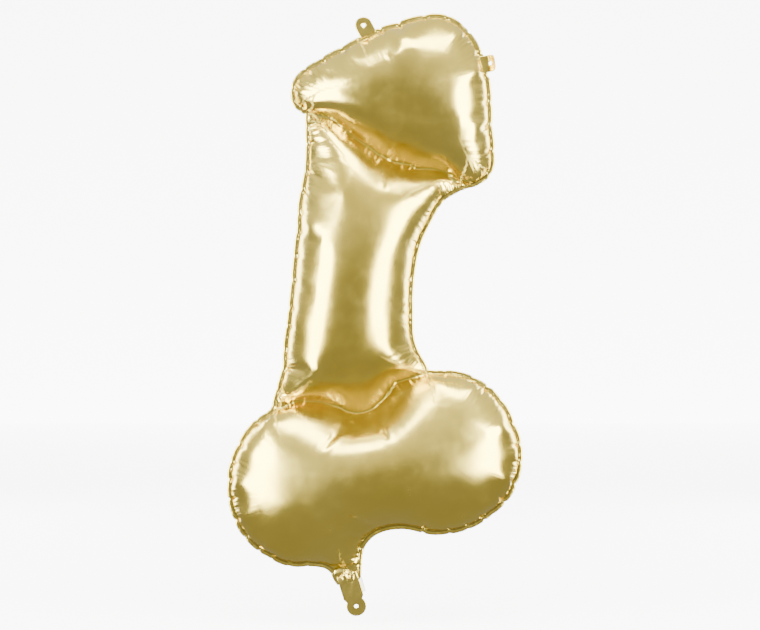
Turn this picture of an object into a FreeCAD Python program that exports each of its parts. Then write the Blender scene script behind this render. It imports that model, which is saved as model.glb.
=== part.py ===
"""A shaped foil party balloon, filled, in millimetres: two film panels welded round their
edge, two hanging tabs, a filling tail and the flat self-closing valve in its throat.

The frame: +Z up, -Y towards the front, +X to the right. The weld lies in the plane Y = 0, and
the origin is the centre of the upper tab's hole. A film is about 0.04 mm thick in life and is
drawn WALL thick, so that every piece is a solid with a thickness that can be measured.
"""

import FreeCAD, Part
import math
import os

from FreeCAD import Vector

# ---------------------------------------------------------------- driving dimensions
FILLED_WIDTH = 432.0   # filled outline, side to side
FILLED_HEIGHT = 837.0  # filled outline, top to bottom
FILLED_DEPTH = 170.0   # thickest place, front to back
WALL = 0.8             # one film ply
SEAM = 7.0             # width of the welded edge outside the filled part
NECK_DEPTH = 6.0       # half the depth left at a neck, where a weld line pinches the films
SLAB = 400.0           # half-size of the blocks that cut the panels apart

TAB_RADIUS = 13.0      # round end of a hanging tab
TAB_HOLE = 3.0         # radius of the hole in a hanging tab
UPPER_TAB_LEAN = 118.0 # direction the tab points, degrees from +X towards +Z
UPPER_TAB_ROOT = 9.0   # fold line to hole centre
SIDE_TAB_LEAN = 8.0
SIDE_TAB_ROOT = 9.5

TAIL_LEAN = -73.0      # direction the tail points
TAIL_WIDTH = 31.0
TAIL_STRIP = 29.0      # fold line to the waist above the round end
TAIL_WAIST = 22.0      # width of that waist
TAIL_HOLE_AT = 42.0    # fold line to the hole
TAIL_END_RADIUS = 15.0
TAIL_HOLE = 3.0

FOLD_NEAR = 0.2        # fold axis to the moving piece's edge
FOLD_FAR = 1.15        # fold axis to the fixed edge, clear of the moving piece's corners
ROOT_OVERLAP = 14.0    # how far a tab's fixed root reaches back into the seam

VALVE_FILM = 0.3       # one valve ply
VALVE_WIDTH = 22.0
VALVE_REACH = 118.0    # fold line to the valve's inner end
INLET_WIDTH = 28.0     # the valve's outer end, which shows beside the tail
INLET_SHIFT = 6.0      # the outer end sits this far to the tail's right
INLET_REACH = 24.0     # fold line to the outer end

# The outline as drawn, stretched to the sizes above. (X, Z) counts from the drawn upper fold.
DRAWN = (432.0, 170.0, 837.0)
UPPER_FOLD = (4.2, -7.9)   # middle of the upper tab's fold line
SIDE_FOLD = (181.6, -58.3)
TAIL_FOLD = (-23.0, -831.0)

# Each chamber is a row of rungs: left end (X, Z), right end (X, Z), half the depth there.
# The chambers meet at two necks, where a weld line across the films pinches them together.
UPPER_NECK = ((-79, -132), (143, -243))
LOWER_NECK = ((-130, -577), (92, -524))
HEAD = [
    (*UPPER_NECK, NECK_DEPTH),
    ((-88, -123), (153, -239), 24),
    ((-97, -111), (170, -231), 38),
    ((-104, -97), (186, -214), 48),
    ((-84, -70), (190, -180), 59),
    ((-48, -48), (188, -138), 63),
    ((-6, -24), (184, -97), 62),
    ((40, -3), (177, -57), 54),
    ((84, 8), (164, -30), 38),
    ((108, 11), (148, -8), 20),
]
HEAD_TIP = (134, 6)
STEM = [
    (*UPPER_NECK, NECK_DEPTH),
    ((-79, -142), (136, -251), 24),
    ((-80, -158), (124, -260), 40),
    ((-84, -200), (100, -284), 60),
    ((-91, -268), (81, -325), 68),
    ((-98, -340), (71, -372), 71),
    ((-105, -410), (68, -425), 70),
    ((-112, -475), (72, -474), 62),
    ((-120, -525), (81, -503), 46),
    ((-127, -560), (88, -516), 26),
    (*LOWER_NECK, NECK_DEPTH),
]
# The base lies across the others: upper end, lower end, half the depth.
BASE_LEFT_TIP = (-199, -699)
BASE = [
    ((-197, -676), (-196, -722), 24),
    ((-192, -652), (-189, -745), 40),
    ((-168, -609), (-158, -783), 56),
    ((-134, -579), (-104, -806), 70),
    ((-80, -566), (-45, -797), 80),
    ((-20, -552), (12, -763), 85),
    ((40, -537), (58, -750), 83),
    ((92, -525), (105, -757), 76),
    ((150, -527), (150, -753), 66),
    ((196, -557), (194, -725), 54),
    ((221, -594), (219, -688), 38),
    ((230, -619), (229, -667), 22),
]
BASE_RIGHT_TIP = (233, -643)
# The throat that leads to the tail: left, right, half the depth.
THROAT = [
    ((-66, -790), (-4, -776), 20),
    ((-52, -806), (-8, -797), 10),
    ((-43, -818), (-9, -811), 5),
]
THROAT_TIP = (-26, -829)

# ---------------------------------------------------------------- shapes
def at(point):
    """A drawn (X, Z) pair as a point in space, measured from the upper tab's hole."""
    turn = math.radians(UPPER_TAB_LEAN)
    across = (point[0] - UPPER_FOLD[0]) * FILLED_WIDTH / DRAWN[0]
    up = (point[1] - UPPER_FOLD[1]) * FILLED_HEIGHT / DRAWN[2]
    across -= UPPER_TAB_ROOT * math.cos(turn)
    up -= UPPER_TAB_ROOT * math.sin(turn)
    return Vector(across, 0, up)


def rung_wire(rung, grow):
    """An ellipse through a rung's two ends, as deep as it says, grown all round."""
    first, last, depth = rung
    centre = (at(first) + at(last)) * 0.5
    half = (at(last) - at(first)) * 0.5
    along = half * ((half.Length + grow) / half.Length)
    across = Vector(0, depth * FILLED_DEPTH / DRAWN[1] + grow, 0)
    quarter = math.pi / 2
    if along.Length >= across.Length:
        ellipse = Part.Ellipse(centre + along, centre + across, centre)
        ends = [-quarter, quarter, 3 * quarter]
    else:
        ellipse = Part.Ellipse(centre + across, centre - along, centre)
        ends = [-2 * quarter, 0, 2 * quarter]
    arcs = [Part.Arc(ellipse, a, b).toShape() for a, b in zip(ends, ends[1:])]
    return Part.Wire(arcs)


def tip_vertex(tip, rung, grow):
    """A chamber's closing point, moved away from the nearest rung as the chamber grows."""
    middle = (at(rung[0]) + at(rung[1])) * 0.5
    out = (at(tip) - middle).normalize()
    return Part.Vertex(at(tip) + out * grow)


def chamber(rungs, start_tip=None, end_tip=None, grow=0.0):
    """One filled chamber, or the space inside it where grow is negative."""
    profile = [rung_wire(r, grow) for r in rungs]
    if start_tip:
        profile.insert(0, tip_vertex(start_tip, rungs[0], grow))
    if end_tip:
        profile.append(tip_vertex(end_tip, rungs[-1], grow))
    return Part.makeLoft(profile, True, False)


def balloon_shape(grow):
    """All four chambers as one list of solids, grown or shrunk together."""
    return [
        chamber(HEAD, end_tip=HEAD_TIP, grow=grow),
        chamber(STEM, grow=grow),
        chamber(BASE, BASE_LEFT_TIP, BASE_RIGHT_TIP, grow),
        chamber(THROAT, end_tip=THROAT_TIP, grow=grow),
    ]


def fused(shapes):
    return shapes[0].fuse(shapes[1:])


def half_space(front):
    """A block that holds everything on one side of the weld."""
    low = -SLAB if front else 0.0
    return Part.makeBox(4 * SLAB, SLAB, 4 * SLAB, Vector(-2 * SLAB, low, -3 * SLAB))


class Flap:
    """A flat film strip that folds about a line: its axes and the shapes cut along them."""

    def __init__(self, fold, lean):
        turn = math.radians(lean)
        self.fold = at(fold)
        self.out = Vector(math.cos(turn), 0, math.sin(turn))
        self.side = Vector(-math.sin(turn), 0, math.cos(turn))

    def point(self, out, side):
        return self.fold + self.out * out + self.side * side

    def plate(self, corners, low, high):
        """A plate with these (out, side) corners, from Y = low to Y = high."""
        points = [self.point(*c) + Vector(0, low, 0) for c in corners]
        face = Part.Face(Part.makePolygon(points + points[:1]))
        return face.extrude(Vector(0, high - low, 0))

    def strip(self, start, end, left, right, low, high):
        corners = [(start, left), (end, left), (end, right), (start, right)]
        return self.plate(corners, low, high)

    def disc(self, out, side, radius, low, high):
        foot = self.point(out, side) + Vector(0, low, 0)
        return Part.makeCylinder(radius, high - low, foot, Vector(0, 1, 0))


def tab_solid(flap, root):
    """A hanging tab: a short strip with a round, punched end, both plies welded into one."""
    body = flap.strip(FOLD_NEAR, root, -TAB_RADIUS, TAB_RADIUS, -WALL, WALL)
    end = flap.disc(root, 0, TAB_RADIUS, -WALL, WALL)
    behind = flap.strip(-TAB_RADIUS, FOLD_NEAR, -TAB_RADIUS, TAB_RADIUS, -WALL, WALL)
    hole = flap.disc(root, 0, TAB_HOLE, -WALL, WALL)
    return body.fuse(end).cut(behind).cut(hole).removeSplitter()


def tail_ply(flap, low, high):
    """One ply of the filling tail: a strip that narrows to a waist, then a round end."""
    wide, waist = TAIL_WIDTH / 2, TAIL_WAIST / 2
    shoulder = TAIL_STRIP * 0.6
    corners = [
        (FOLD_NEAR, -wide),
        (shoulder, -wide),
        (TAIL_STRIP, -waist),
        (TAIL_HOLE_AT, -waist),
        (TAIL_HOLE_AT, waist),
        (TAIL_STRIP, waist),
        (shoulder, wide),
        (FOLD_NEAR, wide),
    ]
    body = flap.plate(corners, low, high)
    end = flap.disc(TAIL_HOLE_AT, 0, TAIL_END_RADIUS, low, high)
    hole = flap.disc(TAIL_HOLE_AT, 0, TAIL_HOLE, low, high)
    return body.fuse(end).cut(hole).removeSplitter()


def root_block(flap, half_width):
    """The fixed film that carries a flap, from within the filled part out to the fold."""
    return flap.strip(-ROOT_OVERLAP, -FOLD_FAR, -half_width, half_width, -WALL, WALL)


# ---------------------------------------------------------------- the pieces
def pieces():
    upper = Flap(UPPER_FOLD, UPPER_TAB_LEAN)
    side = Flap(SIDE_FOLD, SIDE_TAB_LEAN)
    tail = Flap(TAIL_FOLD, TAIL_LEAN)

    # the welded edge is the outline grown by the seam's width, cut to two plies
    slab = Part.makeBox(4 * SLAB, 2 * WALL, 4 * SLAB, Vector(-2 * SLAB, -WALL, -3 * SLAB))
    edge = slab.common(fused(balloon_shape(SEAM)))
    roots = [
        root_block(upper, TAB_RADIUS),
        root_block(side, TAB_RADIUS),
        root_block(tail, TAIL_WIDTH / 2),
    ]
    # clears the welded edge from each flap's path, beyond its fold
    clear = [
        upper.strip(-FOLD_FAR, 40, -TAB_RADIUS - 1, TAB_RADIUS + 1, -WALL, WALL),
        side.strip(-FOLD_FAR, 40, -TAB_RADIUS - 1, TAB_RADIUS + 1, -WALL, WALL),
        tail.strip(-FOLD_FAR, 40, -TAIL_WIDTH / 2 - 1, TAIL_WIDTH / 2 + 1, -WALL, WALL),
    ]
    edge = fused([edge] + roots).cut(clear)
    body = fused(balloon_shape(0.0) + [edge]).cut(fused(balloon_shape(-WALL)))

    def valve(flap, start, end, left, right, front):
        low, high = (-VALVE_FILM, 0.0) if front else (0.0, VALVE_FILM)
        return flap.strip(start, end, left, right, low, high)

    half = VALVE_WIDTH / 2
    valve_front = valve(tail, -VALVE_REACH, -FOLD_FAR, -half, half, True)
    valve_rear = valve(tail, -VALVE_REACH, -FOLD_FAR, -half, half, False)
    left, right = INLET_SHIFT - INLET_WIDTH / 2, INLET_SHIFT + INLET_WIDTH / 2
    inlet_front = valve(tail, FOLD_NEAR, INLET_REACH, left, right, True)
    inlet_rear = valve(tail, FOLD_NEAR, INLET_REACH, left, right, False)
    body = body.cut(valve_front).cut(valve_rear)

    return {
        "front_panel": body.common(half_space(front=True)),
        "rear_panel": body.common(half_space(front=False)),
        "upper_tab": tab_solid(upper, UPPER_TAB_ROOT),
        "side_tab": tab_solid(side, SIDE_TAB_ROOT),
        "tail_front_ply": tail_ply(tail, -WALL, 0).cut(inlet_front),
        "tail_rear_ply": tail_ply(tail, 0, WALL).cut(inlet_rear),
        "valve_front_film": valve_front,
        "valve_rear_film": valve_rear,
        "valve_inlet_front_film": inlet_front,
        "valve_inlet_rear_film": inlet_rear,
    }


def main():
    os.makedirs("parts", exist_ok=True)
    for name, shape in pieces().items():
        solids = shape.Solids
        print(name, "solids", len(solids), "valid", shape.isValid(),
              "volume", round(shape.Volume, 1), shape.BoundBox)
        Part.makeCompound(solids).exportStep("parts/" + name + ".step")


main()
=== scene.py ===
"""The look of a filled, champagne-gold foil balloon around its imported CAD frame.

The film panels are flat patterns filled with gas here, in a small simulation of their own: each
is a sheet that can crumple but hardly stretch, welded to its twin along the edge and along two
lines across the necks. The rim is then drawn most of the way onto the balloon's outline, and
short creases are placed along it. Lengths in the simulation are millimetres; objects are in
metres.
"""

import math

import bpy
import numpy as np
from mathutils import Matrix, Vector
from mathutils.geometry import delaunay_2d_cdt


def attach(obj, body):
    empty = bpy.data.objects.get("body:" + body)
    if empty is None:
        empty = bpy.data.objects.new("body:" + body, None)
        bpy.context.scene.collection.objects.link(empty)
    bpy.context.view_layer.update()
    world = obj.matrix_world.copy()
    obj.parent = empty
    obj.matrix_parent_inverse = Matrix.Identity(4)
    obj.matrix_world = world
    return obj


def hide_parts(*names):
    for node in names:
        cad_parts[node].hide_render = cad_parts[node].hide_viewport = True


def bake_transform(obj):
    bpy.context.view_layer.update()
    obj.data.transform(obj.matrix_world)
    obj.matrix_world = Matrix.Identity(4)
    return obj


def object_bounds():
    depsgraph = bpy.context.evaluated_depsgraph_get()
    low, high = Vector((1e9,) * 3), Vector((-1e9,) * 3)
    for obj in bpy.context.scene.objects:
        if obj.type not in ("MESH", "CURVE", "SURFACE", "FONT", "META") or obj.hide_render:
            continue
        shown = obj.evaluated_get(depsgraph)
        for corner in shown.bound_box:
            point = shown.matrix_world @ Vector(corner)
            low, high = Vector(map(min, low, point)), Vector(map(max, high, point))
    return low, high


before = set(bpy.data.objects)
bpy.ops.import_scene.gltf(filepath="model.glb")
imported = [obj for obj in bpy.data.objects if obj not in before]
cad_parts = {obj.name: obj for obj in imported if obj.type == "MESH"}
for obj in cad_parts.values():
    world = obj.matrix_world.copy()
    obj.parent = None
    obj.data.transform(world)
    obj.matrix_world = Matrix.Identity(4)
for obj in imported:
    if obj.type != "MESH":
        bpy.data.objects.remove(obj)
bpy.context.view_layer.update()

# ---------------------------------------------------------------- camera
CAMERA_AT = (0.02475, -3.2, -0.4346)
CAMERA_VIEW_WIDTH = 1.14       # width of the view where the balloon hangs


def make_camera():
    data = bpy.data.cameras.new("camera")
    data.lens = data.sensor_width * -CAMERA_AT[1] / CAMERA_VIEW_WIDTH
    camera = bpy.data.objects.new("camera", data)
    camera.location = CAMERA_AT
    camera.rotation_euler = (math.radians(90), 0, 0)
    bpy.context.scene.collection.objects.link(camera)
    bpy.context.scene.camera = camera


make_camera()

# ---------------------------------------------------------------- the balloon's outline
# The edge weld of the filled balloon, clockwise from the head's upper left: X, Z and whether
# the edge turns sharply there.
OUTLINE = [
    (-6, -24, 0), (40, -3, 0), (84, 9, 0), (122, 10, 0), (150, -8, 0), (168, -35, 0),
    (180, -68, 0), (185, -100, 0), (187, -138, 0), (190, -180, 0), (188, -214, 0),
    (172, -233, 0), (143, -241, 1),
    (118, -258, 0), (96, -290, 0), (79, -330, 0), (70, -380, 0), (68, -430, 0),
    (73, -480, 0), (92, -524, 1),
    (130, -524, 0), (168, -535, 0), (198, -560, 0), (221, -596, 0), (232, -642, 0),
    (224, -688, 0), (197, -724, 0), (156, -750, 0), (108, -758, 0), (60, -750, 0),
    (20, -757, 0), (-3, -778, 0), (-9, -803, 0), (-9, -826, 1), (-37, -835, 1),
    (-48, -813, 0), (-74, -806, 0), (-112, -805, 0), (-150, -787, 0), (-180, -756, 0),
    (-196, -714, 0), (-197, -672, 0), (-184, -632, 0), (-160, -601, 0), (-130, -577, 1),
    (-122, -530, 0), (-113, -480, 0), (-107, -430, 0), (-102, -380, 0), (-97, -325, 0),
    (-91, -268, 0), (-85, -205, 0), (-80, -131, 1),
    (-98, -117, 0), (-104, -97, 0), (-93, -76, 0), (-66, -57, 0), (-36, -40, 0),
]
# A first guess at the flat pattern's weld line, point for point, before the stretch below.
PATTERN = [
    (-26, 16), (24, 44), (76, 62), (128, 66), (172, 44), (204, 6),
    (220, -40), (226, -86), (228, -136), (226, -186), (216, -222), (190, -242),
    (150, -245),
    (138, -266), (126, -300), (117, -338), (113, -384), (110, -432), (104, -482),
    (97, -523),
    (136, -510), (184, -506), (230, -530), (264, -578), (282, -642), (270, -708),
    (232, -766), (176, -802), (112, -816), (58, -808), (20, -800), (-2, -808),
    (-6, -824), (-4, -846), (-34, -856), (-44, -834),
    (-76, -842), (-124, -848), (-178, -832), (-222, -792), (-246, -730),
    (-248, -664), (-226, -608), (-184, -582),
    (-135, -575),
    (-143, -533), (-146, -484), (-147, -430), (-145, -380), (-140, -325),
    (-130, -268), (-110, -205),
    (-85, -129),
    (-112, -112), (-128, -92), (-122, -62), (-96, -30), (-62, -6),
]
STRETCH_FROM = -540.0          # above this Z the pattern is longer than the filled balloon,
STRETCH_OVER = 290.0           # over this height,
STRETCH_BY = 70.0              # by this much
# the points of the outline where the neck welds end
HEAD_RIGHT, STEM_RIGHT, BASE_LEFT, HEAD_LEFT = 12, 19, 44, 52
# the weld lines across the necks: their two corners, then points from right to left
NECK_WELDS = [
    (HEAD_RIGHT, HEAD_LEFT, [
        (126, -222), (108, -215), (80, -212), (54, -206), (35, -198), (24, -194),
        (8, -183), (-9, -170), (-29, -155), (-48, -141)]),
    (STEM_RIGHT, BASE_LEFT, [
        (68, -532), (51, -538), (39, -549), (27, -563), (16, -575), (2, -582),
        (-14, -583), (-28, -578), (-43, -571), (-60, -566), (-80, -565), (-104, -569)]),
]
NECK_FLAT_RATIO = (1.06, 1.16) # flat width of each neck over its filled width
PASSAGE_AT = (33, -197)        # where the upper weld is left open for the gas
PASSAGE_RADIUS = 7.0

PITCH = 14.0                   # triangle size of the coarse film
GRID_JITTER = 0.12             # how far its points are moved off their grid, in pitches
GRID_CLEAR = 0.62              # how far they keep from the welds, in pitches
WELD_STEPS = 12                # a neck weld's curve is drawn at this many places a span
SEED = 7
START_Y = -1.0                 # the flat film starts this far out, so that it fills forwards,
START_SPREAD = 0.5             # and uneven by this much either way
ROUNDS = 12   # each fills the coarse film and mends the flat pattern
FIRST_STEPS, LATER_STEPS = 600, 260
COARSE_PUSH, COARSE_SQUEEZE, COARSE_BEND = 0.01, 0.04, 0.01
PLACE_WIDTH = 0.4              # how much of the rim counts for a point of the outline
# the most a round moves the pattern's edge and its neck welds, and the share of the miss
EDGE_STEP = (10, 0.7)
NECK_STEP = (8, 0.5)
FAIRING = 0.12                 # how hard the pattern's edge is faired
FAIR_BEND = 1.2                # its bend once fair, over the outline's
CORNER_SPREAD = 1.3            # size of the pattern beside a neck weld's end over the outline's
CORNER_FREE, CORNER_HELD = 0.45, 0.55  # shares of a point there that may move, and that may not
FIRST_EVENINGS, LATER_EVENINGS = 40, 3
SPREADINGS = 400               # passes that spread the edge's moves over the film
WELD_BAND = 2.4                # half the width of a neck weld
# steps, push, bend of each level; each level's triangles are half the size of the last one's
FINE_LEVELS = [(500, 0.003, 0.03), (700, 0.0008, 0.05)][:2]
FINE_SQUEEZE = 0.1
FINE_SPREAD = 0.3              # how uneven the film is made at the start of each level
DAMPING = 0.985
OUTLINE_STEP = 1.5             # between places where the rim is compared with the outline

RIM_EASE = 0.85                # how much of the rim's miss is taken out
EASE_REACH = 34.0              # how far in from the rim the film goes with it
RIM_SMOOTHINGS = 14
NECK_SMOOTHINGS = 8
NECK_REACH = 60                # how far from a neck weld the film is smoothed
# the short creases along the rim, measured on the flat film
CREASE_PITCH = 38.0
CREASE_START = 10.0
CREASE_GAPS = (0.7, 1.3)       # least and most of a gap, in pitches
CREASE_STRENGTHS = (0.55, 1.15)
CREASE_HALF_WIDTH = 2.8
CREASE_DEPTH = 3.4             # how far each draws the rim in
CREASE_DENT = 0.7              # share of the film's height lost at a crease
DEPTH_REACH, DENT_REACH, BUMP_REACH = 9.0, 17.0, 15.0  # how far in from the rim each goes
BULGE_REACH = 12               # outline steps either way over which its bend is measured
BULGE_FROM, BULGE_OVER = -0.06, 0.08   # the bend at which creases begin, and over which they grow
BULGE_BLUR = 12.0

SEAM_WIDTH = 7.0
SEAM_ROWS = (0.35, 0.7, 1.0)   # the edge's rows of points, as shares of its width
SEAM_BLUR = 9.0                # the edge runs beside the weld line blurred by this much,
LINE_SHARE, SOFT_SHARE = 0.75, 0.25    # mixed with the line itself in these shares
SEAM_WAVES = ((11.0, 0.35, 0.3), (17.0, 0.4, 2.1), (29.0, 0.4, 4.0))  # pitch, size and turn
SEAM_WAVE_POWER = 1.5          # how the waves grow from the weld line to the edge
GATHER_OVER = 22.0             # the film gathers where the rim strays from its run this far blurred
GATHER_BLUR = 6.0
GATHER_FULL = 4.0              # the stray at which it gathers in full
GATHER_LEAST = 0.15
FLAP_FADE = 12                 # the waves fade over this much before they reach a flap
FILM_THICKNESS = 0.35          # of one ply as modelled
TAB_THICKNESS = 0.8            # of both plies
TAIL_PLY_THICKNESS = 0.3
VALVE_THICKNESS = 0.12

# creases in the surface look, from the nearest weld
CREASE_ALONG, CREASE_AWAY = 7.0, 45.0  # size of the pattern along the weld and away from it
NECK_PLACE_APART = 3000.0      # moves each neck's part of the pattern away from the others
LOOK_REACH, LOOK_POWER = 24.0, 1.3
NECK_LOOK, SEAM_LOOK = 0.3, 0.22       # strength at the necks and on the welded edge
SEAM_ROW_APART = 0.05


# ---------------------------------------------------------------- curves and meshes of the film
def hermite(p0, p1, t0, t1, s):
    return ((2 * s**3 - 3 * s**2 + 1) * p0 + (s**3 - 2 * s**2 + s) * t0
            + (3 * s**2 - 2 * s**3) * p1 + (s**3 - s**2) * t1)


def closed_curve(points, corner, places):
    """The smooth loop through the points, at places that count points along it."""
    n = len(points)
    tangent = np.roll(points, -1, 0) - np.roll(points, 1, 0)
    tangent /= np.linalg.norm(tangent, axis=1)[:, None]
    out = []
    for place in places:
        i = int(place) % n
        j = (i + 1) % n
        chord = points[j] - points[i]
        span = np.linalg.norm(chord)
        t0 = chord if corner[i] else tangent[i] * span
        t1 = chord if corner[j] else tangent[j] * span
        out.append(hermite(points[i], points[j], t0, t1, place - int(place)))
    return np.array(out)


def even_places(points, step):
    """Places about step apart along the loop, with every point among them."""
    places = []
    for i, chord in enumerate(np.roll(points, -1, 0) - points):
        count = max(1, int(round(np.linalg.norm(chord) / step)))
        places += [i + k / count for k in range(count)]
    return np.array(places)


def resampled(line, count):
    """The same line as count evenly spaced points, ends included."""
    run = run_along(line)
    at = np.linspace(0, run[-1], count)
    return np.stack([np.interp(at, run, line[:, 0]), np.interp(at, run, line[:, 1])], 1)


def run_along(line):
    return np.r_[0, np.cumsum(np.linalg.norm(np.diff(line, axis=0), axis=1))]


def neck_weld(pattern, target, weld, shift):
    """A neck's weld line on the flat pattern, carried over with its two corners."""
    i, j, points = weld
    a, b = complex(*target[i]), complex(*target[j])
    p, q = complex(*pattern[i]), complex(*pattern[j])
    moved = [p + (complex(*point) - a) * (q - p) / (b - a) for point in points]
    line = np.array([(c.real, c.imag) for c in [p, *moved, q]])
    line[1:-1] += shift
    ends = np.vstack([2 * line[0] - line[1], line, 2 * line[-1] - line[-2]])
    out = [line[:1]]
    s = np.linspace(0, 1, WELD_STEPS)[1:, None]
    for p0, p1, p2, p3 in zip(ends, ends[1:], ends[2:], ends[3:]):
        out.append(hermite(p1, p2, (p2 - p0) / 2, (p3 - p1) / 2, s))
    return np.vstack(out)


def distance_to(points, line):
    """How far each point is from a line of segments, and how far along it the nearest place is."""
    near = np.full(len(points), 1e9)
    along = np.zeros(len(points))
    run = run_along(line)
    for k, (p, q) in enumerate(zip(line[:-1], line[1:])):
        d = q - p
        t = np.clip(((points - p) @ d) / (d @ d), 0, 1)
        away = np.linalg.norm(points - p - t[:, None] * d, axis=1)
        closer = away < near
        near[closer] = away[closer]
        along[closer] = (run[k] + t * (run[k + 1] - run[k]))[closer]
    return near, along


def is_inside(points, loop):
    inside = np.zeros(len(points), bool)
    for p, q in zip(loop, np.roll(loop, -1, 0)):
        if p[1] == q[1]:
            continue
        crosses = (p[1] > points[:, 1]) != (q[1] > points[:, 1])
        x = (q[0] - p[0]) * (points[:, 1] - p[1]) / (q[1] - p[1]) + p[0]
        inside ^= crosses & (points[:, 0] < x)
    return inside


def triangles_inside(loop, lines, ends, rng):
    """Triangles of one size inside the loop, with the lines among their edges."""
    low, high = loop.min(0) - PITCH, loop.max(0) + PITCH
    row_height = PITCH * math.sqrt(3) / 2
    rows = int((high[1] - low[1]) / row_height) + 1
    columns = int((high[0] - low[0]) / PITCH) + 1
    r, c = np.mgrid[0:rows, 0:columns]
    grid = np.stack([low[0] + (c + 0.5 * (r % 2)) * PITCH, low[1] + r * row_height], -1)
    grid = grid.reshape(-1, 2)
    grid += rng.uniform(-GRID_JITTER, GRID_JITTER, grid.shape) * PITCH
    near = distance_to(grid, np.vstack([loop, loop[:1]]))[0]
    chains, start = [], len(loop)
    for line, (i, j) in zip(lines, ends):
        near = np.minimum(near, distance_to(grid, np.vstack([loop[i], line, loop[j]]))[0])
        chain = [i, *range(start, start + len(line)), j]
        chains += list(zip(chain[:-1], chain[1:]))
        start += len(line)
    grid = grid[is_inside(grid, loop) & (near > GRID_CLEAR * PITCH)]
    flat = np.vstack([loop, *lines, grid])
    coords = [Vector(v) for v in flat]
    rim = [list(range(len(loop)))]
    _, _, faces, source, _, _ = delaunay_2d_cdt(coords, chains, rim, 1, 1e-6)
    order = np.array([s[0] for s in source])
    tri = order[np.array([list(f) for f in faces])]
    a, b, c = (flat[tri[:, k]] for k in range(3))
    turned = np.cross(b - a, c - a) < 0
    tri[turned] = tri[turned][:, ::-1]
    return flat, tri


def edges_of(tri):
    """Every edge, the edges of one face only, and the far corners across each shared edge."""
    ends = np.sort(np.vstack([tri[:, [0, 1]], tri[:, [1, 2]], tri[:, [2, 0]]]), 1)
    across = np.concatenate([tri[:, 2], tri[:, 0], tri[:, 1]])
    code = ends[:, 0].astype(np.int64) * (tri.max() + 1) + ends[:, 1]
    order = np.argsort(code, kind="stable")
    code = code[order]
    first = np.nonzero(np.r_[True, code[1:] != code[:-1]])[0]
    shared = np.diff(np.r_[first, len(code)]) == 2
    edges = ends[order[first]]
    hinges = np.stack([across[order[first[shared]]], across[order[first[shared] + 1]]], 1)
    return edges, edges[~shared], hinges


def groups_apart(pairs, count):
    """Splits pairs into groups in which no point comes twice."""
    used = [0] * count
    group = np.empty(len(pairs), int)
    for k, (a, b) in enumerate(pairs.tolist()):
        taken = used[a] | used[b]
        free = (~taken & (taken + 1)).bit_length() - 1
        group[k] = free
        used[a] |= 1 << free
        used[b] |= 1 << free
    return [np.nonzero(group == g)[0] for g in range(group.max() + 1)]


def quartered(values, tri, edges):
    """Each triangle cut in four; values has the new mid-edge points after the old ones."""
    n = len(values)
    middle = (values[edges[:, 0]] + values[edges[:, 1]]) / 2
    code = edges[:, 0].astype(np.int64) * n + edges[:, 1]

    def between(a, b):
        return n + np.searchsorted(code, np.minimum(a, b).astype(np.int64) * n + np.maximum(a, b))

    a, b, c = tri.T
    ab, bc, ca = between(a, b), between(b, c), between(c, a)
    fine = [(a, ab, ca), (ab, b, bc), (ca, bc, c), (ab, bc, ca)]
    return np.vstack([values, middle]), np.vstack([np.stack(f, 1) for f in fine])


def neighbour_mean(values, edges):
    total = np.zeros_like(values)
    for k in range(values.shape[1]):
        for a, b in (edges.T, edges.T[::-1]):
            total[:, k] += np.bincount(a, values[b, k], len(values))
    return total / np.bincount(edges.ravel(), minlength=len(values))[:, None]


# ---------------------------------------------------------------- filling the film
class Film:
    """One panel: a sheet whose points move under gas pressure, the held ones in the plane Y = 0."""

    def __init__(self, flat, tri, held):
        self.tri, self.held, self.count = tri, held, len(flat)
        self.edges, _, self.hinges = edges_of(tri)
        length = np.linalg.norm(flat[self.edges[:, 0]] - flat[self.edges[:, 1]], axis=1)
        self.across = np.linalg.norm(flat[self.hinges[:, 0]] - flat[self.hinges[:, 1]], axis=1)
        self.batches = [(*self.edges[g].T, length[g])
                        for g in groups_apart(self.edges, self.count)]

    def at_corners(self, values):
        return sum(np.bincount(self.tri[:, k], values, self.count) for k in range(3))

    def pressure(self, x):
        a, b, c = (x[self.tri[:, k]] for k in range(3))
        normal = np.cross(b - a, c - a)
        area = self.at_corners(np.linalg.norm(normal, axis=1))
        return np.stack([self.at_corners(normal[:, k]) for k in range(3)], 1) / area[:, None]

    def hold_lengths(self, x, squeeze):
        """Pulls edges to their flat length; squeeze is how much of a shortening is undone."""
        for a, b, length in self.batches:
            d = x[b] - x[a]
            now = np.sqrt(np.einsum("ij,ij->i", d, d))
            share = 0.5 * (1.0 - length / np.maximum(now, 1e-9))
            share = np.where(share < 0, share * squeeze, share)
            d *= share[:, None]
            x[a] += d
            x[b] -= d

    def hold_flat(self, x, stiffness):
        """Pushes the far corners beside each edge apart, so that the film resists a fold."""
        a, b = self.hinges.T
        d = x[b] - x[a]
        now = np.sqrt(np.einsum("ij,ij->i", d, d))
        share = 0.5 * (1.0 - self.across / np.maximum(now, 1e-9))
        d *= (stiffness * np.minimum(share, 0))[:, None]
        for k in range(3):
            x[:, k] += np.bincount(a, d[:, k], self.count) - np.bincount(b, d[:, k], self.count)

    def fill(self, x, steps, push, squeeze, bend):
        v = np.zeros_like(x)
        for _ in range(steps):
            old = x.copy()
            x = x + v * DAMPING + self.pressure(x) * push
            self.hold_lengths(x, squeeze)
            self.hold_flat(x, bend)
            x[self.held, 1] = 0.0
            np.minimum(x[:, 1], 0.0, out=x[:, 1])
            v = x - old
            v -= v.mean(0) * np.array([1, 0, 1])
        return x


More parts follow.
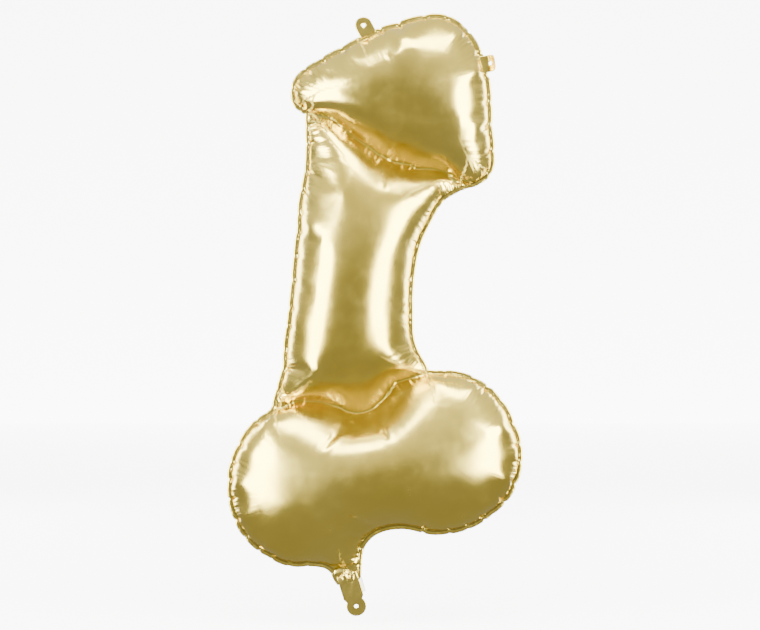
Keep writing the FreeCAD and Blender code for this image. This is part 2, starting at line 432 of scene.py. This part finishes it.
def near_places(values, places, count, width):
    """Values averaged near each whole place of a loop that has count places."""
    out = np.empty((count, values.shape[1]))
    for k in range(count):
        away = (places - k + count / 2) % count - count / 2
        weight = np.exp(-0.5 * (away / width) ** 2)
        out[k] = weight @ values / weight.sum()
    return out


def turned_onto(x, got, target):
    """x and the points got, moved and turned as one onto the target outline."""
    middle, goal = got.mean(0), target.mean(0)
    u, _, vt = np.linalg.svd((got - middle).T @ (target - goal))
    turn = u @ np.diag([1, np.sign(np.linalg.det(u @ vt))]) @ vt
    x[:, [0, 2]] = (x[:, [0, 2]] - middle) @ turn + goal
    return (got - middle) @ turn + goal


def capped(step, most, share):
    """That share of each step, which counts as no longer than most."""
    size = np.linalg.norm(step, axis=1)[:, None]
    return step * np.minimum(1, most / np.maximum(size, 1e-9)) * share


def next_pattern(pattern, target, corner, miss):
    """The flat pattern, changed so that the filled outline comes nearer its target."""
    step = capped(miss, *EDGE_STEP)
    step = np.where(corner[:, None], step,
                    (np.roll(step, 1, 0) + 2 * step + np.roll(step, -1, 0)) / 4)
    pattern = pattern + step
    middle = (np.roll(pattern, 1, 0) + np.roll(pattern, -1, 0)) / 2 - pattern
    wanted = (np.roll(target, 1, 0) + np.roll(target, -1, 0)) / 2 - target
    faired = pattern + FAIRING * (middle - FAIR_BEND * wanted)
    pattern = np.where(corner[:, None], pattern, faired)
    for (i, j, _), ratio in zip(NECK_WELDS, NECK_FLAT_RATIO):
        centre, half = (pattern[i] + pattern[j]) / 2, (pattern[i] - pattern[j]) / 2
        half *= ratio * np.linalg.norm(target[i] - target[j]) / 2 / np.linalg.norm(half)
        pattern[i], pattern[j] = centre + half, centre - half
    for k in (HEAD_RIGHT, STEM_RIGHT, BASE_LEFT, HEAD_LEFT):
        for beside in (k - 1, k + 1):
            keep = pattern[k] + CORNER_SPREAD * (target[beside] - target[k])
            pattern[beside] = CORNER_FREE * pattern[beside] + CORNER_HELD * keep
    return pattern


def filled_panel():
    """The front panel's flat points, filled points and triangles, the weld loop and neck lines
    on the flat pattern, and how deep a rim crease is at each point."""
    rng = np.random.default_rng(SEED)
    target = np.array([p[:2] for p in OUTLINE], float)
    corner = np.array([bool(p[2]) for p in OUTLINE])
    pattern = np.array(PATTERN, float)
    pattern[:, 1] += STRETCH_BY * np.clip((pattern[:, 1] - STRETCH_FROM) / STRETCH_OVER, 0, 1)
    places = even_places(pattern, PITCH)
    loop = closed_curve(pattern, corner, places)
    place_of = [int(np.argmin(abs(places - k))) for k in range(len(target))]
    ends = [(place_of[i], place_of[j]) for i, j, _ in NECK_WELDS]
    shifts = [np.zeros((len(points), 2)) for _, _, points in NECK_WELDS]
    lines, counts = [], []
    for weld, shift in zip(NECK_WELDS, shifts):
        line = neck_weld(pattern, target, weld, shift)
        counts.append(max(2, int(round(run_along(line)[-1] / PITCH))) - 1)
        lines.append(resampled(line, counts[-1] + 2)[1:-1])
    flat, tri = triangles_inside(loop, lines, ends, rng)
    rim_count = len(loop)
    held_count = rim_count + sum(counts)
    edges = edges_of(tri)[0]

    def evened(flat, times):
        for _ in range(times):
            flat[held_count:] = (flat[held_count:] + neighbour_mean(flat, edges)[held_count:]) / 2
        return flat

    flat = evened(flat, FIRST_EVENINGS)
    out = START_Y + rng.uniform(-START_SPREAD, START_SPREAD, len(flat))
    x = np.stack([flat[:, 0], out, flat[:, 1]], 1)
    x[:held_count, 1] = 0
    for r in range(ROUNDS):
        x = Film(flat, tri, np.arange(held_count)).fill(
            x, FIRST_STEPS if r == 0 else LATER_STEPS, COARSE_PUSH, COARSE_SQUEEZE, COARSE_BEND)
        got = near_places(x[:rim_count][:, [0, 2]], places, len(target), PLACE_WIDTH)
        got[corner] = x[np.array(place_of)[corner]][:, [0, 2]]
        miss = target - turned_onto(x, got, target)
        if r == ROUNDS - 1:
            print("filled outline is off by %.1f mm rms" % np.sqrt((miss**2).sum(1).mean()))
            break
        pattern = next_pattern(pattern, target, corner, miss)
        moved = np.zeros_like(flat)
        moved[:rim_count] = closed_curve(pattern, corner, places) - flat[:rim_count]
        start = rim_count
        for k, ((i, j, points), count) in enumerate(zip(NECK_WELDS, counts)):
            chain = np.vstack([x[ends[k][0]], x[start:start + count], x[ends[k][1]]])[:, [0, 2]]
            want = np.vstack([target[i], points, target[j]])
            run = run_along(want) / run_along(want)[-1]
            now = run_along(chain) / run_along(chain)[-1]
            off = want - np.stack([np.interp(run, now, chain[:, c]) for c in (0, 1)], 1)
            step = capped(off, *NECK_STEP)
            step = (np.vstack([step[:1], step[:-1]]) + 2 * step
                    + np.vstack([step[1:], step[-1:]])) / 4
            by_ends = step[0] * (1 - run[:, None]) + step[-1] * run[:, None]
            shifts[k] = shifts[k] + (step - by_ends)[1:-1]
            line = neck_weld(pattern, target, NECK_WELDS[k], shifts[k])
            at = slice(start, start + count)
            moved[at] = resampled(line, count + 2)[1:-1] - flat[at]
            start += count
        for _ in range(SPREADINGS):
            moved[held_count:] = neighbour_mean(moved, edges)[held_count:]
        flat = evened(flat + moved, LATER_EVENINGS)

    necks = [neck_weld(pattern, target, weld, shift) for weld, shift in zip(NECK_WELDS, shifts)]
    i, j, _ = NECK_WELDS[0]
    turn = complex(*(pattern[j] - pattern[i])) / complex(*(target[j] - target[i]))
    passage = complex(*pattern[i]) + (complex(*PASSAGE_AT) - complex(*target[i])) * turn
    for steps, push, bend in FINE_LEVELS:
        edges = edges_of(tri)[0]
        x = quartered(x, tri, edges)[0]
        flat, tri = quartered(flat, tri, edges)
        held = np.zeros(len(flat), bool)
        held[np.unique(edges_of(tri)[1])] = True
        for line in necks:
            held |= distance_to(flat, line)[0] < WELD_BAND
        held &= np.hypot(flat[:, 0] - passage.real, flat[:, 1] - passage.imag) >= PASSAGE_RADIUS
        x[held, 1] = 0
        x[:, 1] += np.where(held, 0, rng.uniform(-FINE_SPREAD, FINE_SPREAD, len(x)))
        x = Film(flat, tri, np.nonzero(held)[0]).fill(x, steps, push, FINE_SQUEEZE, bend)
    fine = even_places(pattern, OUTLINE_STEP)
    loop = closed_curve(pattern, corner, fine)
    x, dent = eased(flat, x, tri, loop, closed_curve(target, corner, fine), necks, rng)
    return flat, x, tri, loop, necks, dent


def eased(flat, x, tri, loop, goal, necks, rng):
    """Draws the rim most of the way to its outline, so that its puckers are shallow, and takes
    the film beside it along."""
    near, along = distance_to(flat, np.vstack([loop, loop[:1]]))
    places = run_along(np.vstack([loop, loop[:1]]))
    rim = np.unique(edges_of(tri)[1])
    rim = rim[np.argsort(along[rim])]
    share = RIM_EASE * np.exp(-(near / EASE_REACH) ** 2)
    for k, axis in enumerate((0, 2)):
        now = np.interp(along, along[rim], x[rim, axis], period=places[-1])
        want = np.interp(along, places, np.r_[goal[:, k], goal[0, k]])
        x[:, axis] += share * (want - now)
    edges = edges_of(tri)[0]
    by_neck = np.min([distance_to(flat, line)[0] for line in necks], 0)
    for free, times in ((near < 2 * EASE_REACH, RIM_SMOOTHINGS),
                        (by_neck < NECK_REACH, NECK_SMOOTHINGS)):
        free &= x[:, 1] < 0
        for _ in range(times):
            x[free] = (x[free] + neighbour_mean(x, edges)[free]) / 2
    return creased(x, near, along, goal, places, rng)


def creased(x, near, along, goal, places, rng):
    """Short creases square to the rim where it is straight or bulges, as the film gathers there.
    Each draws the rim in a little, so the edge is scalloped between them."""
    behind, ahead = np.roll(goal, BULGE_REACH, 0), np.roll(goal, -BULGE_REACH, 0)
    chord, before, after = ahead - behind, goal - behind, ahead - goal
    bulge = -(before[:, 0] * after[:, 1] - before[:, 1] * after[:, 0])
    bulge /= np.linalg.norm(before, axis=1) * np.linalg.norm(after, axis=1)
    bulging = np.clip((bulge - BULGE_FROM) / BULGE_OVER, 0, 1)
    inward = np.stack([chord[:, 1], -chord[:, 0]], 1) / np.linalg.norm(chord, axis=1)[:, None]
    bulging = loop_blur(bulging[:, None], BULGE_BLUR, places[-1] / len(goal))[:, 0]

    def at_points(values):
        return np.interp(along, places, np.r_[values, values[0]])

    depth = np.zeros(len(x))
    centre = CREASE_START
    while centre < places[-1]:
        away = (along - centre + places[-1] / 2) % places[-1] - places[-1] / 2
        depth += rng.uniform(*CREASE_STRENGTHS) * np.exp(-(away / CREASE_HALF_WIDTH) ** 2)
        centre += CREASE_PITCH * rng.uniform(*CREASE_GAPS)
    depth *= at_points(bulging)
    drawn = CREASE_DEPTH * depth * np.exp(-(near / DEPTH_REACH) ** 2)
    x[:, 0] += drawn * at_points(inward[:, 0])
    x[:, 2] += drawn * at_points(inward[:, 1])
    x[:, 1] *= 1 - CREASE_DENT * depth * np.exp(-(near / DENT_REACH) ** 2)
    return x, depth * np.exp(-(near / BUMP_REACH) ** 2)


# ---------------------------------------------------------------- from film to pieces
def rim_order(tri):
    """The rim's points in order round the panel."""
    rim = edges_of(tri)[1]
    beside = {}
    for a, b in rim.tolist():
        beside.setdefault(a, []).append(b)
        beside.setdefault(b, []).append(a)
    chain = [int(rim[0, 0])]
    last = None
    while True:
        ahead = [p for p in beside[chain[-1]] if p != last]
        last = chain[-1]
        if ahead[0] == chain[0]:
            return chain
        chain.append(ahead[0])


def loop_blur(values, width, step):
    """A closed run of values blurred with a bell of that width."""
    reach = int(3 * width / step)
    out = np.zeros_like(values)
    total = 0.0
    for k in range(-reach, reach + 1):
        weight = math.exp(-0.5 * (k * step / width) ** 2)
        out += weight * np.roll(values, k, 0)
        total += weight
    return out / total


def with_seam(x, tri):
    """The filled film with its welded edge outside it: points, waves, faces and the rim's points
    in order. The waves are the same for both panels, so they come back apart from the points."""
    chain = rim_order(tri)
    line = x[chain][:, [0, 2]]
    ahead = np.roll(line, -1, 0)
    if np.sum(line[:, 0] * ahead[:, 1] - line[:, 1] * ahead[:, 0]) < 0:
        chain, line = chain[::-1], line[::-1]
    step = np.linalg.norm(np.roll(line, -1, 0) - line, axis=1).mean()
    soft = loop_blur(line, SEAM_BLUR, step)
    tangent = np.roll(soft, -1, 0) - np.roll(soft, 1, 0)
    tangent /= np.linalg.norm(tangent, axis=1)[:, None]
    outward = np.stack([tangent[:, 1], -tangent[:, 0]], 1)
    edge = LINE_SHARE * line + SOFT_SHARE * soft + outward * SEAM_WIDTH
    run = np.arange(len(chain)) * step
    # the edge is drawn in where the film gathers, and waves there
    gather = np.linalg.norm(line - loop_blur(line, GATHER_OVER, step), axis=1)
    gather = loop_blur(gather[:, None], GATHER_BLUR, step)[:, 0]
    gather = np.clip(gather / GATHER_FULL, GATHER_LEAST, 1)
    total = run[-1] + step
    waves = sum(size * np.sin(2 * math.pi * round(total / pitch) * run / total + turn)
                for pitch, size, turn in SEAM_WAVES)
    waves *= gather
    for flap in (UPPER_TAB, SIDE_TAB, TAIL):
        away = np.linalg.norm(line - flap.fold, axis=1)
        waves *= np.clip((away - flap.clear) / FLAP_FADE, 0, 1)
    n, m = len(x), len(chain)
    points, wave = [x], [np.zeros(n)]
    for share in SEAM_ROWS:
        row = line + (edge - line) * share
        points.append(np.stack([row[:, 0], np.zeros(m), row[:, 1]], 1))
        wave.append(waves * share**SEAM_WAVE_POWER)
    faces = []
    inner = np.array(chain)
    for k in range(len(SEAM_ROWS)):
        outer = n + k * m + np.arange(m)
        a, b = inner, np.roll(inner, -1)
        c, d = np.roll(outer, -1), outer
        faces += [np.stack([a, d, c], 1), np.stack([a, c, b], 1)]
        inner = outer
    return np.vstack(points), np.concatenate(wave), np.vstack([tri, *faces]), chain


class Flap:
    """A tab's or the tail's own place: distances run out from the fold, and across to its side."""

    def __init__(self, node, fold, lean, clear):
        """lean is in degrees from +X; clear is how near the fold the edge has no waves."""
        turn = math.radians(lean)
        self.clear = clear
        self.node = node
        self.fold = np.array(fold)
        self.out = np.array([math.cos(turn), math.sin(turn)])
        self.side = np.array([-self.out[1], self.out[0]])

    def flat(self, out, side):
        return self.fold + np.outer(out, self.out) + np.outer(side, self.side)

    def point(self, out):
        """A place on the fold's middle line, in metres."""
        x, z = (self.fold + self.out * out) / 1000
        return (x, 0.0, z)


UPPER_TAB = Flap("upper_tab", (4.225, -7.947), 118, 22)
SIDE_TAB = Flap("side_tab", (181.625, -58.347), 8, 22)
TAIL = Flap("tail", (-22.975, -831.047), -73, 32)


def new_mesh(name, points, faces, material, smooth=True):
    """A mesh object from points in millimetres."""
    mesh = bpy.data.meshes.new(name)
    mesh.from_pydata((np.asarray(points) / 1000).tolist(), [], np.asarray(faces).tolist())
    if smooth:
        mesh.shade_smooth()
    mesh.materials.append(material)
    piece = bpy.data.objects.new(name, mesh)
    bpy.context.scene.collection.objects.link(piece)
    return piece


def add_values(piece, name, values):
    """Gives each point a value or a vector that materials can read by name."""
    kind = "FLOAT" if values.ndim == 1 else "FLOAT_VECTOR"
    attribute = piece.data.attributes.new(name, kind, "POINT")
    attribute.data.foreach_set("value" if values.ndim == 1 else "vector",
                               np.ascontiguousarray(values, np.float32).ravel())


def thicken(piece, thickness, offset):
    """Gives a surface its thickness, in millimetres, and leaves a closed mesh."""
    solid = piece.modifiers.new("thickness", "SOLIDIFY")
    solid.thickness = thickness / 1000
    solid.offset = offset
    solid.use_even_offset = False
    depsgraph = bpy.context.evaluated_depsgraph_get()
    mesh = bpy.data.meshes.new_from_object(piece.evaluated_get(depsgraph))
    piece.modifiers.clear()
    piece.data = mesh


# ---------------------------------------------------------------- materials
def node_tree(name):
    """A new material and its shader, and functions that add and link its nodes."""
    material = bpy.data.materials.new(name)
    material.use_nodes = True
    tree = material.node_tree
    shader = tree.nodes["Principled BSDF"]

    def add(kind, **values):
        node = tree.nodes.new(kind)
        for key, value in values.items():
            if key in node.inputs:
                node.inputs[key].default_value = value
            else:
                setattr(node, key, value)
        return node

    def link(a, out, b, into):
        tree.links.new(a.outputs[out], b.inputs[into])

    return material, shader, add, link


def gold_film(name, with_creases):
    """Mirror-bright metallised film: gathered creases at the welds, faint ripples elsewhere."""
    material, shader, add, link = node_tree(name)
    shader.inputs["Metallic"].default_value = 1.0
    texture = add("ShaderNodeTexCoord")
    # the film's tint drifts a little over its surface
    drift = add("ShaderNodeTexNoise", Scale=5.0, Detail=3.0)
    link(texture, "Object", drift, "Vector")
    tint = add("ShaderNodeValToRGB")
    tint.color_ramp.elements[0].position = 0.35
    tint.color_ramp.elements[0].color = (0.86, 0.655, 0.10, 1)
    tint.color_ramp.elements[1].position = 0.68
    tint.color_ramp.elements[1].color = (0.92, 0.73, 0.15, 1)
    link(drift, "Fac", tint, "Fac")
    link(tint, "Color", shader, "Base Color")
    # scuffs make the mirror slightly duller in patches
    scuff = add("ShaderNodeTexNoise", Scale=38.0, Detail=6.0, Roughness=0.65)
    link(texture, "Object", scuff, "Vector")
    dull = add("ShaderNodeMapRange")
    dull.inputs["From Min"].default_value = 0.42
    dull.inputs["From Max"].default_value = 0.75
    dull.inputs["To Min"].default_value = 0.19
    dull.inputs["To Max"].default_value = 0.29
    link(scuff, "Fac", dull, "Value")
    link(dull, "Result", shader, "Roughness")
    ripple = add("ShaderNodeTexNoise", Scale=55.0, Detail=2.0)
    link(texture, "Object", ripple, "Vector")
    faint = add("ShaderNodeBump", Strength=0.12, Distance=0.0006)
    link(ripple, "Fac", faint, "Height")
    last = faint
    if with_creases:
        # creases run square to the nearest weld: narrow along it, long away from it
        place = add("ShaderNodeAttribute", attribute_name="weld_place")
        crease = add("ShaderNodeTexNoise", Scale=1.0, Detail=1.5)
        link(place, "Vector", crease, "Vector")
        depth = add("ShaderNodeAttribute", attribute_name="weld_gather")
        height = add("ShaderNodeMath", operation="MULTIPLY")
        link(crease, "Fac", height, 0)
        link(depth, "Fac", height, 1)
        dents = add("ShaderNodeAttribute", attribute_name="rim_crease")
        lowered = add("ShaderNodeMath", operation="SUBTRACT")
        link(height, "Value", lowered, 0)
        link(dents, "Fac", lowered, 1)
        creased = add("ShaderNodeBump", Strength=1.0, Distance=0.0045)
        link(lowered, "Value", creased, "Height")
        link(faint, "Normal", creased, "Normal")
        last = creased
    link(last, "Normal", shader, "Normal")
    return material


def clear_film():
    """Clear valve film, slightly milky where it wrinkles."""
    material, shader, add, link = node_tree("clear_film")
    shader.inputs["Roughness"].default_value = 0.12
    shader.inputs["Transmission Weight"].default_value = 0.85
    shader.inputs["IOR"].default_value = 1.3
    texture = add("ShaderNodeTexCoord")
    cloud = add("ShaderNodeTexNoise", Scale=90.0, Detail=4.0)
    link(texture, "Object", cloud, "Vector")
    tint = add("ShaderNodeValToRGB")
    tint.color_ramp.elements[0].color = (0.80, 0.77, 0.66, 1)
    tint.color_ramp.elements[1].color = (0.96, 0.94, 0.88, 1)
    link(cloud, "Fac", tint, "Fac")
    link(tint, "Color", shader, "Base Color")
    bump = add("ShaderNodeBump", Strength=0.5, Distance=0.0008)
    link(cloud, "Fac", bump, "Height")
    link(bump, "Normal", shader, "Normal")
    return material


def plain_white(name, glow):
    """The floor and backdrop: matt white with a faint grain, lit up enough to stay pale."""
    material, shader, add, link = node_tree(name)
    texture = add("ShaderNodeTexCoord")
    grain = add("ShaderNodeTexNoise", Scale=30.0, Detail=3.0)
    link(texture, "Object", grain, "Vector")
    tint = add("ShaderNodeValToRGB")
    tint.color_ramp.elements[0].color = (0.93, 0.93, 0.93, 1)
    tint.color_ramp.elements[1].color = (0.97, 0.97, 0.97, 1)
    link(grain, "Fac", tint, "Fac")
    link(tint, "Color", shader, "Base Color")
    shader.inputs["Roughness"].default_value = 0.9
    shader.inputs["Emission Color"].default_value = (1, 1, 1, 1)
    shader.inputs["Emission Strength"].default_value = glow
    return material


GOLD = gold_film("gold_film", True)
GOLD_PLAIN = gold_film("gold_film_flaps", False)
CLEAR = clear_film()


# ---------------------------------------------------------------- the two panels
def weld_values(flat, loop, necks, chain):
    """For each point: a place in crease space, and how strongly the film gathers there."""
    near, along = distance_to(flat, np.vstack([loop, loop[:1]]))
    base = 0.0
    by_neck = np.zeros(len(flat), bool)
    for line in necks:
        base += NECK_PLACE_APART
        away, where = distance_to(flat, line)
        closer = away < near
        near = np.where(closer, away, near)
        along = np.where(closer, where + base, along)
        by_neck |= closer
    place = np.stack([along / CREASE_ALONG, near / CREASE_AWAY, np.zeros(len(flat))], 1)
    gather = np.exp(-(near / LOOK_REACH) ** LOOK_POWER) * np.where(by_neck, NECK_LOOK, 1.0)
    seam_place = np.zeros((len(chain), 3))
    seam_place[:, 0] = place[chain, 0]
    count = len(SEAM_ROWS)
    rows = [seam_place + np.array([0, -SEAM_ROW_APART * k, 0]) for k in range(1, count + 1)]
    return (np.vstack([place, *rows]),
            np.concatenate([gather, np.full(len(chain) * count, SEAM_LOOK)]))


def make_panels():
    """Both panels from one filled film, the rear one mirrored, with the same wavy edge."""
    flat, x, tri, loop, necks, dent = filled_panel()
    points, wave, faces, chain = with_seam(x, tri)
    place, gather = weld_values(flat, loop, necks, chain)
    a, b, c = (flat[tri[:, k]] for k in range(3))
    area = np.abs(np.cross(b - a, c - a)).sum() / 2e6
    area += SEAM_WIDTH * run_along(np.vstack([loop, loop[:1]]))[-1] / 1e6
    for node, side in (("front_panel", 1), ("rear_panel", -1)):
        shape = points.copy()
        shape[:, 1] = side * shape[:, 1] + wave
        piece = new_mesh(node + "_film", shape, faces if side > 0 else faces[:, ::-1], GOLD)
        add_values(piece, "weld_place", place)
        add_values(piece, "weld_gather", gather)
        add_values(piece, "rim_crease", np.r_[dent, np.zeros(len(gather) - len(dent))])
        thicken(piece, FILM_THICKNESS, 1)
        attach(piece, "balloon")
        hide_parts(node)


make_panels()


# ---------------------------------------------------------------- tabs and tail
HOLE_RADIUS = 3.0
TAB_RADIUS = 12.6
CURL_FROM, CURL_RADIUS = 2, 13.0       # where the side tab starts to curl, and how tightly
TAIL_HOLE_AT = 42.0
TAIL_BACK = 9                  # how far the tail's root goes in past the fold
TAIL_HALF_WIDTH = 15.5
TAIL_END_RADIUS = 14.8
# how far a ray from the hole leans back to the fold before it leaves the round end, and over
# what lean it passes from there to the straight strip
WAIST_FROM, WAIST_OVER = 0.60, 0.07
TAIL_LEVEL = 0.4               # each ply's distance from the plane of the weld
VALVE_LEVEL = 0.12
VALVE_ROWS, VALVE_COLUMNS = 40, 16
# each length of the valve: name, body, start and end out from the fold, and its two sides
VALVE_LENGTHS = (
    ("valve", "balloon", -118, -1.2, -11, 11),
    ("valve_inlet", "tail", 0.2, 24, -8, 20),
)


def ring_sheet(hole_at, hole, outline, rows=9, count=144):
    """A flat sheet round a hole: points (out, side) of a flap, from the hole to the outline."""
    angle = np.arange(count) * 2 * math.pi / count
    ray = np.stack([np.cos(angle), np.sin(angle)], 1)
    far = np.array([outline(r) for r in ray])
    share = np.linspace(0, 1, rows)[:, None]
    reach = hole + (far[None, :] - hole) * share
    out = hole_at + reach * ray[None, :, 0]
    side = reach * ray[None, :, 1]
    faces = []
    for k in range(rows - 1):
        a = k * count + np.arange(count)
        b = k * count + (np.arange(count) + 1) % count
        faces.append(np.stack([a, b, b + count, a + count], 1))
    return out.ravel(), side.ravel(), np.vstack(faces)


def tab_outline(radius, back):
    """From the hole: a round end, and straight sides back to the root."""
    def far(ray):
        if ray[0] >= 0:
            return radius
        return min(radius / max(abs(ray[1]), 1e-9), back / -ray[0])
    return far


def make_tab(name, flap, root, back, shape):
    """A hanging tab, both plies as one: out from its fold, with its root under the edge weld."""
    out, side, faces = ring_sheet(root, HOLE_RADIUS, tab_outline(TAB_RADIUS, root + back))
    out, y = shape(out, side)
    place = flap.flat(out, side)
    piece = new_mesh(name, np.stack([place[:, 0], y, place[:, 1]], 1), faces, GOLD_PLAIN)
    thicken(piece, TAB_THICKNESS, 0)
    flap.point(-1.0)
    flap.point(1.0)
    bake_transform(piece)
    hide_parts(flap.node)


def upper_shape(out, side):
    """Nearly flat, with waves that begin past the fold."""
    y = 0.25 * np.sin(side / 2.6 + out / 5) * np.clip((out - 1) / 8, 0, 1)
    return out, y


def side_shape(out, side):
    """Curled over towards the front."""
    away = np.clip(out - CURL_FROM, 0, 40)
    turn = away / CURL_RADIUS
    curled = np.where(out < CURL_FROM, out, CURL_FROM + CURL_RADIUS * np.sin(turn))
    y = -CURL_RADIUS * (1 - np.cos(turn)) + 0.3 * np.sin(side / 3.1) * np.clip(away / 8, 0, 1)
    return curled, y


make_tab("upper_tab_film", UPPER_TAB, 9.0, 8.0, upper_shape)
make_tab("side_tab_film", SIDE_TAB, 9.5, 8.0, side_shape)


def tail_outline(ray):
    """From the hole: round end, narrow waist, straight strip back to the fold and past it."""
    if ray[0] > -WAIST_FROM:
        return TAIL_END_RADIUS
    back = TAIL_HOLE_AT + TAIL_BACK
    straight = min(TAIL_HALF_WIDTH / max(abs(ray[1]), 1e-9), back / -ray[0])
    share = min(1, max(0, (-ray[0] - WAIST_FROM) / WAIST_OVER))
    return TAIL_END_RADIUS + (straight - TAIL_END_RADIUS) * share


def tail_waves(out, side):
    """How the tail's plies and the valve between them crumple, most at the fold."""
    gather = np.clip((6 - out) / 14, 0, 1)
    crumple = np.clip((34 - out) / 30, 0, 1)
    return (1.6 * gather * np.sin(side / 2.3 + 0.5 * np.sin(out / 3))
            + 0.7 * crumple * np.sin(side / 3.7 + out / 6 + 1.0)
            + 0.5 * np.sin(out / 8 + side / 9))


def tail_ply(name, node, level):
    out, side, faces = ring_sheet(TAIL_HOLE_AT, HOLE_RADIUS, tail_outline, rows=26, count=200)
    y = tail_waves(out, side)
    place = TAIL.flat(out, side)
    piece = new_mesh(name, np.stack([place[:, 0], y + level, place[:, 1]], 1), faces, GOLD_PLAIN)
    thicken(piece, TAIL_PLY_THICKNESS, 0)
    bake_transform(piece)
    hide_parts(node)


tail_ply("tail_front_ply_film", "tail_front_ply", -TAIL_LEVEL)
tail_ply("tail_rear_ply_film", "tail_rear_ply", TAIL_LEVEL)


def valve_film(name, node, body, start, end, left, right, level):
    """A strip of the clear valve: wrinkled along its length in the throat, and crumpled with the
    tail's plies beside them."""
    out, side = np.meshgrid(np.linspace(start, end, VALVE_ROWS),
                            np.linspace(left, right, VALVE_COLUMNS), indexing="ij")
    out, side = out.ravel(), side.ravel()
    y = tail_waves(out, side) if body == "tail" else 0.2 * np.sin(side / 2.1 + out / 17)
    y += level
    place = TAIL.flat(out, side)
    index = np.arange(VALVE_ROWS * VALVE_COLUMNS).reshape(VALVE_ROWS, VALVE_COLUMNS)
    faces = np.stack([index[:-1, :-1], index[1:, :-1], index[1:, 1:], index[:-1, 1:]], -1)
    piece = new_mesh(name, np.stack([place[:, 0], y, place[:, 1]], 1), faces.reshape(-1, 4), CLEAR)
    thicken(piece, VALVE_THICKNESS, 0)
    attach(piece, body)
    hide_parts(node)


for ply, level in (("front", -VALVE_LEVEL), ("rear", VALVE_LEVEL)):
    for part, body, *box in VALVE_LENGTHS:
        valve_film(f"{part}_{ply}_sleeve", f"{part}_{ply}_film", body, *box, level)


# ---------------------------------------------------------------- stage and light
STAGE_REACH, STAGE_FRONT = 6000, -4500     # millimetres
FLOOR_DROP = 12                # from the balloon's lowest point
STAGE_GLOW = 5.0
LIGHTS_LOOK_AT = (0.02, 0, -0.42)
# name, place, width and height in metres, and watts
SOFTBOXES = (
    ("softbox_left", (-1.7, -1.3, -0.35), 1.3, 2.0, 170),
    ("softbox_right", (1.7, -1.3, -0.35), 1.3, 2.0, 170),
    ("softbox_back_left", (-1.7, 1.6, -0.2), 1.1, 1.8, 70),
    ("softbox_back_right", (1.7, 1.6, -0.2), 1.1, 1.8, 70),
    ("softbox_top", (0.1, -0.9, 1.5), 1.6, 0.7, 60),
)


def make_stage():
    far, near = STAGE_REACH, STAGE_FRONT
    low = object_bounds()[0][2] * 1000 - FLOOR_DROP
    floor = new_mesh("floor", [(-far, near, low), (far, near, low), (far, far, low),
                               (-far, far, low)],
                     [(0, 1, 2, 3)], plain_white("floor_white", STAGE_GLOW), False)
    back = new_mesh("backdrop", [(-far, far, low), (far, far, low), (far, far, far),
                                 (-far, far, far)],
                    [(0, 1, 2, 3)], plain_white("backdrop_white", STAGE_GLOW), False)
    for piece in (floor, back):
        piece.visible_glossy = False     # the film mirrors the studio, not its white surround


def softbox(name, place, width, height, power):
    light = bpy.data.lights.new(name, "AREA")
    light.shape = "RECTANGLE"
    light.size, light.size_y, light.energy = width, height, power
    lamp = bpy.data.objects.new(name, light)
    lamp.location = place
    toward = Vector(LIGHTS_LOOK_AT) - Vector(place)
    lamp.rotation_euler = toward.to_track_quat("-Z", "Y").to_euler()
    bpy.context.scene.collection.objects.link(lamp)


def make_lights():
    world = bpy.data.worlds.new("studio")
    bpy.context.scene.world = world
    world.use_nodes = True
    background = world.node_tree.nodes["Background"]
    background.inputs["Strength"].default_value = 1.0
    # darker below and level with the balloon, paler overhead
    tree = world.node_tree
    where = tree.nodes.new("ShaderNodeTexCoord")
    split = tree.nodes.new("ShaderNodeSeparateXYZ")
    shade = tree.nodes.new("ShaderNodeValToRGB")
    shade.color_ramp.elements[0].position = 0.0
    shade.color_ramp.elements[0].color = (0.35, 0.34, 0.32, 1)
    shade.color_ramp.elements[1].position = 0.75
    shade.color_ramp.elements[1].color = (1.25, 1.22, 1.18, 1)
    tree.links.new(where.outputs["Generated"], split.inputs["Vector"])
    tree.links.new(split.outputs["Z"], shade.inputs["Fac"])
    tree.links.new(shade.outputs["Color"], background.inputs["Color"])
    for values in SOFTBOXES:
        softbox(*values)


make_stage()
make_lights()
